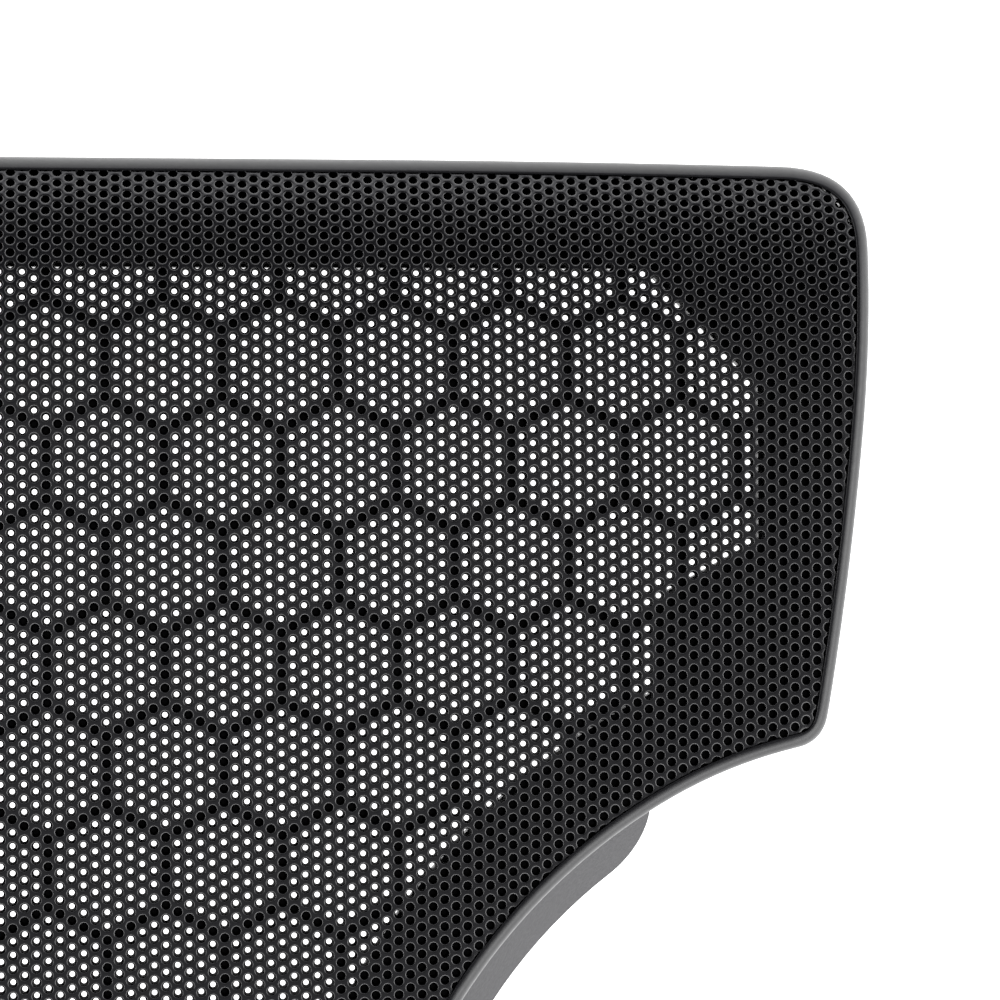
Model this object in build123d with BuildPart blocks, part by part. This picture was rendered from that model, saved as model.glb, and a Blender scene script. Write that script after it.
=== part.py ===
from build123d import *
import math
import os

# Laptop cooling pad. +X right, +Y rear (away from the user), +Z up, millimetres.
# Origin: on the table, under the middle of the pad.

os.makedirs("parts", exist_ok=True)

# Driving dimensions -----------------------------------------------------------------

apex = 50.0                 # height of the flat middle of the top face above the table

# Crown of the top face. Side to side: flat, a short bend, then a straight slope.
flat_x = 40.0               # half width of the flat middle
slope_x = 4.36              # slope of the flanks, degrees
side_bend_radius = 263.0    # bend between the two
flank_reach = 215.0         # the flanks are built past the outline, then trimmed by it
# Front to back: flat, a wide bend, then a tighter one at the lip.
flat_y = 110.5
rear_bend_radius = 71.7
rear_bend_angle = 25.2
lip_bend_radius = 45.0
lip_bend_angle = 21.0

# Outline in plan, right rear quarter; the rest is mirrored.
half_depth = 151.3
corner_x = 194.8            # where the rear edge and the side edge would meet
corner_y = 150.4
corner_radius = 12.0
rear_straight = 120.0       # the rear edge is straight this far from the middle
rear_middle = (158.0, 151.05)
side_middle = (191.95, 102.5)
side_end_x = 186.2
side_end_radius = 3.5
waist_centre = (207.0, -25.3)
waist_radius = 91.2
waist_blend = 33.5          # angle at which the wide waist arc hands over to the narrow one
tip_radius = 72.6           # tighter arc between the wide waist arc and the side edge
tip_angle = 60.0
trim_reach = 16.0           # how far trimming slabs reach above the top face
cut_margin = 3.0

# Shells
skin_thickness = 2.0
rim_width = 2.2
rim_proud = 0.3
rim_depth = 6.5
frame_thickness = 3.0
frame_depth = skin_thickness + frame_thickness
outline_prism = 80.0        # height of the prisms that trim the shells

# Honeycomb behind the skin
cell_side = 10.0
rib_width = 2.0
border = 15.5
window_rear = 134.4
window_chamfer = ((159.6, 134.4), (176.2, 116.7))
window_notch = ((176.2, 93.2), (162.4, 85.8), (160.4, 81.3), (160.4, 70.7))

cell_rows = 10
cell_columns = 22

# Fasteners
screw_radius = 1.9
screw_gap = 0.1
screw_head_radius = 3.6
screw_head_height = 2.4
screw_head_round = 0.7
screw_slot_length = 3.6
screw_slot_width = 0.8
screw_slot_depth = 0.8
screw_end_gap = 0.4

# Side legs
leg_wall = 2.6
leg_top_inset = 2.2         # the leg's top edge lies this far inside the outline
leg_flare = 8.7             # and its foot this far outside it
leg_foot = 2.0              # height of the leg's lower edge
leg_lip = 4.0
leg_shoulder = 31.0
leg_end_angle = 60.0        # end of the leg on the wide waist arc, seen from its centre
leg_top = 44.0
leg_flange = 11.0
leg_flange_thickness = 11.0
leg_screw_inset = 8.5
leg_screw_angles = (38.0, 53.0)
leg_end_round = 12.0        # round of the leg's outer corner at each end, in plan
leg_screw_length = 10.0
strip_height = leg_foot

# Fan pod
pod_x = 59.0
pod_y = 68.0
pod_corner = 12.0
pod_wall = 2.2
pod_floor = 6.0
pod_floor_thickness = 2.4
fan_size = 110.0
fan_height = 25.0
fan_floor = 11.0
fan_bore = 104.0
fan_hole_pitch = 95.0
fan_hole_radius = 2.15
fan_flange = 4.0
fan_wall = 1.5
motor_base = 3.0
intake_radius = 54.0
pod_chamfer = 2.0
grille_gap = 0.2
grille_hoop = 4.0
grille_spokes = 6
fan_corner = 6.0
strut_count = 4
strut_width = 5.0
grille_seat = 1.4
grille_ledge = 2.0
grille_bar = 1.6
grille_hub = 12.0
grille_rings = (20.0, 28.0, 36.0, 44.0)
hub_radius = 20.0
hub_wall = 1.6
blade_count = 9
blade_reach = 49.5
shaft_radius = 1.5
bearing_clearance = 0.05
bearing_radius = 4.0
bearing_length = 14.0
bearing_seat_wall = 1.5
stator_core = 8.0
stator_reach = 15.6
stator_floor = 3.0
stator_height = 9.0
pole_width = 4.0
pole_thickness = 1.5
pole_gap = 3.0
pole_count = 4
winding_length = 2.8
winding_bulge = 1.0
fan_board_thickness = 1.2
rotor_round = 1.5
rotor_roof = 2.0
boss_radius = 3.2
magnet_thickness = 1.8
magnet_gap = 1.0
shaft_end_gap = 0.3
isolator_radius = 4.5
blade_half_thickness = 0.8
blade_root_chord = 6.5       # half chords and pitch angles of a blade
blade_tip_chord = 9.5
blade_root_pitch = 52.0
blade_tip_pitch = 32.0

# Control box at the rear
box_x = 52.0
box_front = 84.0
box_rear = 146.0
box_roof = 2.0
box_wall = 2.2
box_floor = 6.0
box_corner = 5.0
box_inner_corner = 3.0
cover_gap = 0.2
post_radius = 3.0
ear_length = 6.0
opening_gap = 0.2           # clearance round each control in the rear wall
board_floor = 10.5
board_thickness = 1.6
socket_x = 32.0
socket_width = 13.1
socket_height = 5.7
socket_depth = 14.0
socket_wall = 0.4
socket_inset = 0.5
socket_tongue = 1.8
tongue_inset = 1.5
tongue_drop = 0.6
wheel_radius = 10.5
wheel_thickness = 4.0
wheel_gap = 0.5
wheel_lift = 4.0            # of the wheel above the board
knurl_count = 36
knurl_radius = 0.6
encoder_size = (11.0, 12.0, 2.8)
encoder_shift = 4.0
encoder_boss = (3.5, 3.4)
wheel_place = (8.0, 139.0)
switch_place = (-13.0, 18.0)    # across and up, on the rear wall
switch_width = 15.0
switch_height = 9.6
switch_depth = 12.0
rocker_width = 12.0
rocker_height = 6.6
rocker_thickness = 3.2
rocker_tilt = 8.0
rocker_pin_radius = 0.8
rocker_pivot_inset = 2.6
rocker_dish = 0.9           # the rocker's ends stand this far over its middle
rocker_foot = 2.0
rocker_gap = 0.5
switch_bezel = 1.5          # width of the bezel on the wall, 1 mm thick
switch_well = 7.0
lens_place = (-13.0, 28.0)
lens_radius = 1.2
lens_length = 6.0
lens_proud = 0.4
lens_round = 0.5
cover_thickness = 2.0
board_x = 45.0
board_front = 92.0
board_rear = 143.0
board_posts = ((-20.0, 96.0), (20.0, 96.0), (-20.0, 138.0), (24.0, 128.0))

# Fold-out rear feet, under the control box
foot_x = 36.0
foot_width = 20.0
foot_length = 24.0
foot_thickness = 3.6
foot_hinge_y = 116.0
foot_hinge_z = 3.9
pin_radius = 1.25
pin_clearance = 0.06
foot_side_gap = 0.4
foot_window_margin = 4.0
foot_window_corner = 2.0
foot_pad_length = 2.0
foot_pad_round = 1.2
ear_width = 3.0
ear_bottom = 1.6

# Front beam and flip-up laptop stops
beam_x = 52.0
beam_front = -146.0
beam_back = -126.0
beam_cavity = 26.0
beam_corner = 4.0
stop_x = 26.0
stop_width = 22.0
stop_length = 28.0
stop_thickness = 4.0
stop_hinge_y = -107.0
stop_gap = 0.5
tray_wall = 1.4
pocket_length = stop_length + 10 * stop_gap
thumb_radius = 5.0
thumb_depth = 1.4
stop_depth = 0.2            # the stop lies this far below the top face
tray_depth = 6.8

# Pads, feet, fan lead
rest_pad_places = ((-34.0, -64.0), (34.0, -64.0), (-34.0, 98.0), (34.0, 98.0))
rest_pad_radius = 5.0
rest_pad_proud = 0.8
rest_pad_chamfer = 0.3
rubber_foot_chamfer = 0.8
lead_step = 4.0
lead_drop = 5.0
foot_disc_radius = 7.0
beam_foot_places = ((-40.0, -136.0), (40.0, -136.0))
box_foot_places = ((-18.0, 138.0), (18.0, 138.0), (-40.0, 92.0), (40.0, 92.0))
lead_radius = 1.3
lead_hole_radius = 1.8
lead_x = 30.0
lead_z = 24.0
lead_bend_radius = 9.0
lead_route = (
    (lead_x, 57.0, lead_z),
    (lead_x, 72.0, lead_z),
    (lead_x - lead_step, 79.0, lead_z - lead_drop),
    (lead_x - lead_step, 98.0, lead_z - lead_drop),
)


# Shared shapes ----------------------------------------------------------------------

standing = (Align.CENTER, Align.CENTER, Align.MIN)

def crown_line(depth):
    """Half of the front-to-back line of the crown, at a depth below the top face."""
    flat = Line((0, apex - depth), (flat_y, apex - depth))
    bend = JernArc(flat @ 1, flat % 1, rear_bend_radius - depth, -rear_bend_angle)
    lip = JernArc(bend @ 1, bend % 1, lip_bend_radius - depth, -lip_bend_angle)
    return flat @ 0, lip @ 1


def crown_section(plane, top, bottom):
    """Front-to-back section between two depths, on a plane across the pad."""
    with BuildSketch(plane) as section:
        with BuildLine():
            upper_start, upper_end = crown_line(top)
            lower_start, lower_end = crown_line(bottom)
            Line(upper_start, lower_start)
            Line(upper_end, lower_end)
        make_face()
        mirror(about=Plane.YZ)
    return section.sketch


def crown_slab(top, bottom):
    """Solid between two depths below the crowned top face, wider than the outline."""
    bend_axis = Axis((flat_x, 0, apex - side_bend_radius), (0, 1, 0))
    middle = crown_section(Plane.YZ, top, bottom)
    hinge = crown_section(Plane.YZ.offset(flat_x), top, bottom)
    flank_start = hinge.rotate(bend_axis, slope_x)
    with BuildPart() as slab:
        extrude(middle, amount=flat_x)
        revolve(hinge, axis=bend_axis, revolution_arc=slope_x)
        extrude(flank_start, amount=flank_reach - flat_x)
        mirror(about=Plane.YZ)
    return slab.part


def waist_point(radius, angle):
    """Point on an arc about the wide waist centre, the angle counted from -X."""
    turn = math.radians(angle)
    return (waist_centre[0] - radius * math.cos(turn), waist_centre[1] + radius * math.sin(turn))


blend_height = waist_radius * math.sin(math.radians(waist_blend))
blend_share = waist_point(waist_radius, waist_blend)[1] / blend_height
narrow_centre_x = waist_centre[0] - (1 - blend_share) * waist_radius * math.cos(math.radians(waist_blend))
narrow_radius = blend_share * waist_radius


def waist_edges(start, reach):
    """The waist from a start point down to Y = 0, moved outward from the middle by -reach."""
    blend = waist_point(waist_radius + reach, waist_blend)
    first = math.degrees(math.atan2(start[1] - waist_centre[1], waist_centre[0] - start[0]))
    middle = waist_point(waist_radius + reach, (first + waist_blend) / 2)
    ThreePointArc(start, middle, blend)
    turn = math.radians(waist_blend / 2)
    radius = narrow_radius + reach
    halfway = (narrow_centre_x - radius * math.cos(turn), radius * math.sin(turn))
    ThreePointArc(blend, halfway, (narrow_centre_x - radius, 0))
    return narrow_centre_x - radius


tip_centre = waist_point(waist_radius - tip_radius, tip_angle)
tip_blend = waist_point(waist_radius, tip_angle)
side_end = (side_end_x, tip_centre[1] + math.sqrt(tip_radius ** 2 - (tip_centre[0] - side_end_x) ** 2))


def tip_edge():
    """The tight arc from the side edge's lower end to the wide waist arc."""
    first = math.degrees(math.atan2(side_end[1] - tip_centre[1], tip_centre[0] - side_end[0]))
    turn = math.radians((first + tip_angle) / 2)
    middle = (tip_centre[0] - tip_radius * math.cos(turn), tip_centre[1] + tip_radius * math.sin(turn))
    ThreePointArc(side_end, middle, tip_blend)


def pad_outline(inset):
    """The plan outline, moved inward by an inset."""
    with BuildSketch() as outline:
        with BuildLine():
            Line((0, 0), (0, half_depth))
            Line((0, half_depth), (rear_straight, half_depth))
            ThreePointArc((rear_straight, half_depth), rear_middle, (corner_x, corner_y))
            ThreePointArc((corner_x, corner_y), side_middle, side_end)
            tip_edge()
            waist_x = waist_edges(tip_blend, 0)
            Line((waist_x, 0), (0, 0))
        make_face()
        corners = outline.vertices().sort_by_distance((corner_x, corner_y))
        fillet(corners[0], corner_radius)
        ends = outline.vertices().sort_by_distance(side_end)
        fillet(ends[0], side_end_radius)
        mirror(about=Plane.YZ)
        mirror(about=Plane.XZ)
        if inset:
            offset(amount=-inset, mode=Mode.REPLACE)
    return outline.sketch


def plan_x(distance):
    """Plan distance reached by walking along the crown from the middle, side to side."""
    bend_length = math.radians(slope_x) * side_bend_radius
    along = abs(distance)
    bend = min(max(along - flat_x, 0), bend_length) / side_bend_radius
    slope = max(along - flat_x - bend_length, 0)
    plan = min(along, flat_x) + side_bend_radius * math.sin(bend)
    return math.copysign(plan + slope * math.cos(math.radians(slope_x)), distance)


def plan_y(distance):
    """The same, front to back."""
    along = abs(distance)
    bend = max(along - flat_y, 0) / rear_bend_radius
    return math.copysign(min(along, flat_y) + rear_bend_radius * math.sin(bend), distance)


def prism(sketch, low, high):
    """Upright prism on a plan sketch, between two heights."""
    with BuildPart() as block:
        with BuildSketch(Plane.XY.offset(low)):
            add(sketch)
        extrude(amount=high - low)
    return block.part


def save(part, name):
    """Label one finished piece and write it."""
    part.label = name
    export_step(part, f"parts/{name}.step")


# Top: skin, rim, honeycomb frame -------------------------------------------------------

skin_slab = crown_slab(0, skin_thickness)
frame_slab = crown_slab(skin_thickness, frame_depth)
rim_slab = crown_slab(-rim_proud, rim_depth)
above_frame = crown_slab(-trim_reach, frame_depth)
inner_outline = pad_outline(rim_width)
outer_outline = pad_outline(0)

with BuildSketch() as stop_pockets:
    with Locations((-stop_x, stop_hinge_y + stop_length / 2), (stop_x, stop_hinge_y + stop_length / 2)):
        Rectangle(stop_width + 2 * (stop_gap + tray_wall), pocket_length + 2 * tray_wall)
pocket_cut = prism(stop_pockets.sketch, apex - frame_depth - cut_margin, apex + cut_margin)

with BuildPart() as top_skin:
    add(prism(inner_outline, 0, outline_prism))
    add(skin_slab, mode=Mode.INTERSECT)
    add(pocket_cut, mode=Mode.SUBTRACT)
save(top_skin.part, "top_skin")

with BuildPart() as perimeter_rim:
    add(prism(outer_outline, 0, outline_prism))
    add(prism(inner_outline, 0, outline_prism), mode=Mode.SUBTRACT)
    add(rim_slab, mode=Mode.INTERSECT)
save(perimeter_rim.part, "perimeter_rim")

with BuildSketch() as window:
    with BuildLine():
        Line((0, 0), (0, window_rear))
        Polyline((0, window_rear), *window_chamfer, *window_notch)
        waist_x = waist_edges(window_notch[-1], border)
        Line((waist_x, 0), (0, 0))
    make_face()


def cell_outline(column, row):
    """One honeycomb opening, its corners laid along the crown."""
    centre_x = column * cell_side * math.sqrt(3) / 2
    centre_y = row * cell_side * 1.5
    reach = cell_side - rib_width / math.sqrt(3)
    corners = []
    for corner in range(6):
        turn = math.radians(60 * corner + 30)
        along_x = centre_x + reach * math.cos(turn)
        along_y = centre_y + reach * math.sin(turn)
        corners.append((plan_x(along_x), plan_y(along_y)))
    return corners


# One quarter of the honeycomb is cut, then mirrored twice.
with BuildSketch() as cells:
    for row in range(cell_rows):
        for column in range(row % 2, cell_columns, 2):
            with BuildLine():
                Polyline(*cell_outline(column, row), close=True)
            make_face()
    add(window.sketch, mode=Mode.INTERSECT)

with BuildPart() as honeycomb_frame:
    add(prism(inner_outline, 0, outline_prism))
    add(frame_slab, mode=Mode.INTERSECT)
    with BuildSketch():
        Rectangle(2 * half_depth, 2 * half_depth, align=(Align.MIN, Align.MIN))
    extrude(amount=outline_prism, mode=Mode.INTERSECT)
    add(prism(cells.sketch, 0, outline_prism), mode=Mode.SUBTRACT)
    mirror(about=Plane.YZ)
    mirror(about=Plane.XZ)
    add(pocket_cut, mode=Mode.SUBTRACT)
save(honeycomb_frame.part, "honeycomb_frame")


# Side legs ----------------------------------------------------------------------------

def arc_plane(centre, angle):
    """Upright plane through an arc's centre, its x axis pointing away from the centre."""
    turn = math.radians(180 - angle)
    outward = (math.cos(turn), math.sin(turn), 0)
    return Plane((centre[0], centre[1], 0), x_dir=outward, z_dir=(outward[1], -outward[0], 0))


def leg_section(plane, radius):
    """Flared wall of the leg, with the flange that lies under the honeycomb border."""
    top = radius + leg_top_inset
    foot = radius - leg_flare
    with BuildSketch(plane) as section:
        with BuildLine():
            Polyline(
                (foot, leg_foot),
                (foot + leg_wall, leg_foot),
                (foot + leg_wall, leg_foot + leg_lip),
                (top + leg_wall, leg_top - leg_flange_thickness),
                (top + leg_flange, leg_top - leg_flange_thickness),
                (top + leg_flange, leg_top),
                (top, leg_top),
                (top, leg_shoulder),
                (foot, leg_foot + leg_lip),
                close=True,
            )
        make_face()
    return section.sketch


def strip_section(plane, radius):
    """Rubber strip under the leg's wall."""
    foot = radius - leg_flare
    with BuildSketch(plane) as section:
        with Locations((foot, 0)):
            Rectangle(leg_wall, strip_height, align=Align.MIN)
    return section.sketch


def leg_end_corner():
    """What the rounded outer corner takes off the leg's end."""
    edge = waist_radius - leg_flare
    round_reach = edge + leg_end_round
    round_angle = leg_end_angle - math.degrees(math.asin(leg_end_round / round_reach))
    centre = waist_point(round_reach, round_angle)
    past_end = leg_end_angle + 1
    with BuildPart() as corner:
        with BuildSketch():
            with BuildLine():
                Polyline(
                    centre,
                    waist_point(edge - 1, round_angle),
                    waist_point(edge - 1, past_end),
                    waist_point(round_reach, past_end),
                    close=True,
                )
            make_face()
            with Locations(centre):
                Circle(leg_end_round, mode=Mode.SUBTRACT)
        extrude(amount=leg_top)
    return corner.part


def along_waist(section):
    """Carry a section along the narrow and the wide waist arcs, both ways from Y = 0."""
    narrow_centre = (narrow_centre_x, 0)
    narrow_axis = Axis((*narrow_centre, 0), (0, 0, -1))
    wide_axis = Axis((*waist_centre, 0), (0, 0, -1))
    with BuildPart() as leg:
        add(section(arc_plane(narrow_centre, 0), narrow_radius))
        revolve(axis=narrow_axis, revolution_arc=waist_blend)
        add(section(arc_plane(waist_centre, waist_blend), waist_radius))
        revolve(axis=wide_axis, revolution_arc=leg_end_angle - waist_blend)
        add(leg_end_corner(), mode=Mode.SUBTRACT)
        mirror(about=Plane.XZ)
    return leg.part


leg_shell = along_waist(leg_section)
leg_rubber = along_waist(strip_section)
leg_screw_places = [waist_point(waist_radius + leg_screw_inset, angle) for angle in leg_screw_angles]
leg_screw_places += [(x, -y) for x, y in leg_screw_places]

with BuildPart() as right_side_leg:
    add(leg_shell)
    add(above_frame, mode=Mode.SUBTRACT)
    with Locations(*[(x, y, leg_top) for x, y in leg_screw_places]):
        Hole(screw_radius + screw_gap)
save(right_side_leg.part, "right_side_leg")

with BuildPart() as left_side_leg:
    add(right_side_leg.part.mirror(Plane.YZ))
save(left_side_leg.part, "left_side_leg")

with BuildPart() as right_leg_strip:
    add(leg_rubber)
save(right_leg_strip.part, "right_leg_strip")

with BuildPart() as left_leg_strip:
    add(leg_rubber.mirror(Plane.YZ))
save(left_leg_strip.part, "left_leg_strip")


# Fan pod --------------------------------------------------------------------------------

fan_holes = [(x * fan_hole_pitch / 2, y * fan_hole_pitch / 2) for x in (-1, 1) for y in (-1, 1)]
isolator_floor = pod_floor + pod_floor_thickness

with BuildPart() as base_pan:
    with BuildSketch(Plane.XY.offset(pod_floor)):
        RectangleRounded(2 * pod_x, 2 * pod_y, pod_corner)
    extrude(amount=apex - pod_floor)
    chamfer(base_pan.edges().group_by(Axis.Z)[0], pod_chamfer)
    with BuildSketch(Plane.XY.offset(isolator_floor)):
        RectangleRounded(2 * (pod_x - pod_wall), 2 * (pod_y - pod_wall), pod_corner - pod_wall)
    extrude(amount=apex, mode=Mode.SUBTRACT)
    with Locations((0, 0, isolator_floor)):
        CounterBoreHole(intake_radius - grille_ledge, intake_radius, grille_seat)
    with Locations(*[(x, y, isolator_floor) for x, y in fan_holes]):
        Hole(screw_radius + screw_gap)
    with Locations(Location((lead_x, pod_y, lead_z), (-90, 0, 0))):
        Hole(lead_hole_radius, depth=2 * pod_wall)
    add(above_frame, mode=Mode.SUBTRACT)
save(base_pan.part, "base_pan")

with BuildPart() as intake_grille:
    with BuildSketch(Plane.XY.offset(isolator_floor - grille_seat)):
        Circle(intake_radius - grille_gap)
        Circle(intake_radius - grille_hoop, mode=Mode.SUBTRACT)
        for ring in grille_rings:
            Circle(ring + grille_bar / 2)
            Circle(ring - grille_bar / 2, mode=Mode.SUBTRACT)
        with PolarLocations(0, grille_spokes, start_angle=180 / grille_spokes):
            with Locations((intake_radius / 2, 0)):
                Rectangle(intake_radius - grille_hoop / 2, grille_bar)
        Circle(grille_hub)
    extrude(amount=grille_seat)
save(intake_grille.part, "intake_grille")

with BuildPart() as fan_frame:
    with BuildSketch(Plane.XY.offset(fan_floor)):
        RectangleRounded(fan_size, fan_size, fan_corner)
        Circle(fan_bore / 2, mode=Mode.SUBTRACT)
    extrude(amount=fan_height)
    with BuildSketch(Plane.XY.offset(fan_floor + fan_flange)):
        Rectangle(2 * fan_size, 2 * fan_size)
        Circle(fan_bore / 2 + fan_wall, mode=Mode.SUBTRACT)
    extrude(amount=fan_height - 2 * fan_flange, mode=Mode.SUBTRACT)
    with BuildSketch(Plane.XY.offset(fan_floor)):
        Circle(hub_radius)
        with PolarLocations(0, strut_count, start_angle=180 / strut_count):
            with Locations((fan_bore / 4 + 1, 0)):
                Rectangle(fan_bore / 2, strut_width)
    extrude(amount=motor_base)
    with BuildSketch(Plane.XY.offset(fan_floor + motor_base)):
        Circle(bearing_radius + bearing_seat_wall)
    extrude(amount=bearing_length)
    with Locations((0, 0, fan_floor + motor_base + bearing_length)):
        Hole(bearing_radius, depth=bearing_length)
    with Locations(*[(x, y, fan_floor + fan_height) for x, y in fan_holes]):
        Hole(fan_hole_radius)
save(fan_frame.part, "fan_frame")

bearing_floor = fan_floor + motor_base
with BuildPart() as fan_bearing:
    with BuildSketch(Plane.XY.offset(bearing_floor)):
        Circle(bearing_radius)
        Circle(shaft_radius + bearing_clearance, mode=Mode.SUBTRACT)
    extrude(amount=bearing_length)
save(fan_bearing.part, "fan_bearing")

stator_inner = bearing_radius + bearing_seat_wall
with BuildPart() as fan_stator:
    with BuildSketch(Plane.XY.offset(bearing_floor + stator_floor)):
        Circle(stator_reach)
        Circle(stator_reach - pole_thickness, mode=Mode.SUBTRACT)
        with PolarLocations(stator_reach, pole_count, start_angle=180 / pole_count):
            Rectangle(2 * pole_gap, pole_gap, mode=Mode.SUBTRACT)
        Circle(stator_core)
        with PolarLocations((stator_reach - pole_thickness / 2) / 2, pole_count):
            Rectangle(stator_reach - pole_thickness / 2, pole_width)
        Circle(stator_inner, mode=Mode.SUBTRACT)
    extrude(amount=stator_height)
save(fan_stator.part, "fan_stator")

with BuildPart() as fan_windings:
    with PolarLocations((stator_core + stator_reach - pole_thickness) / 2, pole_count):
        with Locations((0, 0, bearing_floor + stator_floor - winding_bulge)):
            Box(winding_length, pole_width + 3 * winding_bulge, stator_height + 2 * winding_bulge,
                align=standing)
    with PolarLocations(stator_reach / 2, pole_count):
        with Locations((0, 0, bearing_floor + stator_floor)):
            Box(stator_reach, pole_width, stator_height, align=standing,
                mode=Mode.SUBTRACT)
save(fan_windings.part, "fan_windings")

with BuildPart() as fan_circuit_board:
    with BuildSketch(Plane.XY.offset(bearing_floor)):
        Circle(stator_reach)
        Circle(stator_inner, mode=Mode.SUBTRACT)
    extrude(amount=fan_board_thickness)
save(fan_circuit_board.part, "fan_circuit_board")

rotor_floor = bearing_floor + fan_board_thickness
rotor_top = fan_floor + fan_height - 1
blade_sections = (
    (hub_radius - hub_wall / 2, blade_root_chord, blade_root_pitch),
    (blade_reach, blade_tip_chord, blade_tip_pitch),
)
with BuildPart() as fan_rotor:
    with BuildSketch(Plane.XY.offset(rotor_floor)):
        Circle(hub_radius)
    extrude(amount=rotor_top - rotor_floor)
    fillet(fan_rotor.edges().group_by(Axis.Z)[-1], rotor_round)
    with BuildSketch(Plane.XY.offset(rotor_floor)):
        Circle(hub_radius - hub_wall)
    extrude(amount=rotor_top - rotor_floor - rotor_roof, mode=Mode.SUBTRACT)
    for blade in range(blade_count):
        turn = 360 * blade / blade_count
        outward = Vector(1, 0, 0).rotate(Axis.Z, turn)
        tangent = Vector(0, 1, 0).rotate(Axis.Z, turn)
        middle_z = (rotor_floor + rotor_top) / 2
        for reach, half_chord, pitch in blade_sections:
            place = outward * reach + Vector(0, 0, middle_z)
            chord = tangent.rotate(Axis((0, 0, 0), outward), pitch)
            with BuildSketch(Plane(place, x_dir=chord, z_dir=outward)):
                Ellipse(half_chord, blade_half_thickness)
        loft()
    with BuildSketch(Plane.XY.offset(rotor_floor)):
        Circle(hub_radius - hub_wall)
    extrude(amount=rotor_top - rotor_floor - rotor_roof, mode=Mode.SUBTRACT)
    with BuildSketch(Plane.XY.offset(rotor_top - rotor_roof - 1)):
        Circle(boss_radius)
    extrude(amount=rotor_roof)
    with Locations((0, 0, rotor_top)):
        Hole(shaft_radius, depth=1 + rotor_roof)
save(fan_rotor.part, "fan_rotor")

with BuildPart() as rotor_magnet:
    with BuildSketch(Plane.XY.offset(rotor_floor + magnet_gap)):
        Circle(hub_radius - hub_wall)
        Circle(hub_radius - hub_wall - magnet_thickness, mode=Mode.SUBTRACT)
    extrude(amount=rotor_top - rotor_floor - rotor_roof - 2 * magnet_gap)
save(rotor_magnet.part, "rotor_magnet")

with BuildPart() as fan_shaft:
    with Locations((0, 0, bearing_floor + shaft_end_gap)):
        Cylinder(shaft_radius, rotor_top - bearing_floor - 3 * shaft_end_gap, align=standing)
save(fan_shaft.part, "fan_shaft")

with BuildPart() as fan_isolators:
    with Locations(*[(x, y, isolator_floor) for x, y in fan_holes]):
        Cylinder(isolator_radius, fan_floor - isolator_floor, align=standing)
        Hole(screw_radius + screw_gap, depth=2 * fan_floor)
save(fan_isolators.part, "fan_isolators")


def pan_head_screw(length):
    """Cross-head screw standing on the origin, its head up."""
    with BuildPart() as screw:
        Cylinder(screw_radius, length, align=(Align.CENTER, Align.CENTER, Align.MAX))
        Cylinder(screw_head_radius, screw_head_height, align=standing)
        fillet(screw.edges().group_by(Axis.Z)[-1], screw_head_round)
        with Locations((0, 0, screw_head_height)):
            Box(screw_slot_length, screw_slot_width, 2 * screw_slot_depth, mode=Mode.SUBTRACT)
            Box(screw_slot_width, screw_slot_length, 2 * screw_slot_depth, mode=Mode.SUBTRACT)
    return screw.part


fan_screw = pan_head_screw(fan_floor + fan_height - pod_floor - screw_end_gap)
with BuildPart() as fan_screws:
    with Locations(*[(x, y, fan_floor + fan_height) for x, y in fan_holes]):
        add(fan_screw)
save(fan_screws.part, "fan_screws")


# Control box ----------------------------------------------------------------------------

box_middle = (box_front + box_rear) / 2
box_length = box_rear - box_front
roof_cut = crown_slab(-trim_reach, frame_depth + box_roof)
with BuildPart() as box_cavity:
    with BuildSketch(Plane.XY.offset(box_floor)):
        with Locations((0, box_middle)):
            RectangleRounded(2 * (box_x - box_wall), box_length - 2 * box_wall, box_inner_corner)
    extrude(amount=apex - box_floor)
    add(roof_cut, mode=Mode.SUBTRACT)

socket_floor = board_floor + board_thickness
wheel_floor = socket_floor + wheel_lift
with BuildPart() as control_box:
    with BuildSketch(Plane.XY.offset(box_floor)):
        with Locations((0, box_middle)):
            RectangleRounded(2 * box_x, box_length, box_corner)
    extrude(amount=apex - box_floor)
    add(above_frame, mode=Mode.SUBTRACT)
    add(box_cavity.part, mode=Mode.SUBTRACT)
    with Locations((-socket_x, box_rear, socket_floor), (socket_x, box_rear, socket_floor)):
        Box(socket_width + 2 * opening_gap, 4 * box_wall, socket_height + 2 * opening_gap,
            align=standing, mode=Mode.SUBTRACT)
    with Locations((wheel_place[0], box_rear, wheel_floor - wheel_gap)):
        Box(2 * (wheel_radius + wheel_gap), 4 * box_wall, wheel_thickness + 2 * wheel_gap,
            align=standing, mode=Mode.SUBTRACT)
    with Locations((switch_place[0], box_rear, switch_place[1])):
        Box(switch_width + opening_gap, 4 * box_wall, switch_height + opening_gap, mode=Mode.SUBTRACT)
    with Locations(Location((lens_place[0], box_rear, lens_place[1]), (90, 0, 0))):
        Hole(lens_radius + opening_gap / 2, depth=2 * box_wall)
    with Locations(Location((lead_route[-1][0], box_front, lead_route[-1][2]), (90, 0, 0))):
        Hole(lead_hole_radius, depth=2 * box_wall)
save(control_box.part, "control_box")

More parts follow.
